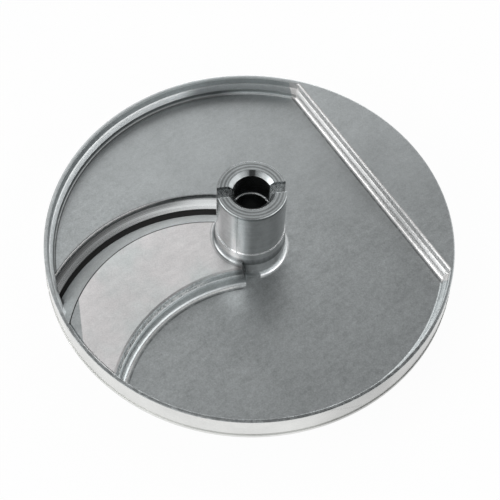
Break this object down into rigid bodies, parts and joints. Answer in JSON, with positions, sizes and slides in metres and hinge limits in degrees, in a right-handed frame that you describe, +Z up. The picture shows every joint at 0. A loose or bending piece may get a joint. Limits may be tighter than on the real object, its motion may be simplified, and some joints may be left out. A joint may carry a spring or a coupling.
{
  "type": "slicing disc",
  "caption": "Cast aluminium slicing disc lying on its food side: round rim, tall notched drive hub, curved slot with a steel blade, raised sector and segment.",
  "frame": {"origin": "on the hub's axis, in the plane of the food side on which the disc rests", "axes": "+Z up along the hub's axis, from the food side to the hub's notched end; -Y toward the side that the raised sector's curved step faces; +X across, away from the slot"},
  "size_m": [0.1762, 0.1762, 0.0466],
  "materials": {
    "cast_body": "satin as cast, turned bright at the hub and the rim",
    "blade": "fine ground and polished",
    "screws": "turned stainless steel"
  },
  "bodies": {
    "root": {"disc_body": "cast_body", "slicing_blade": "blade", "blade_screws": "screws"}
  },
  "joints": []
}
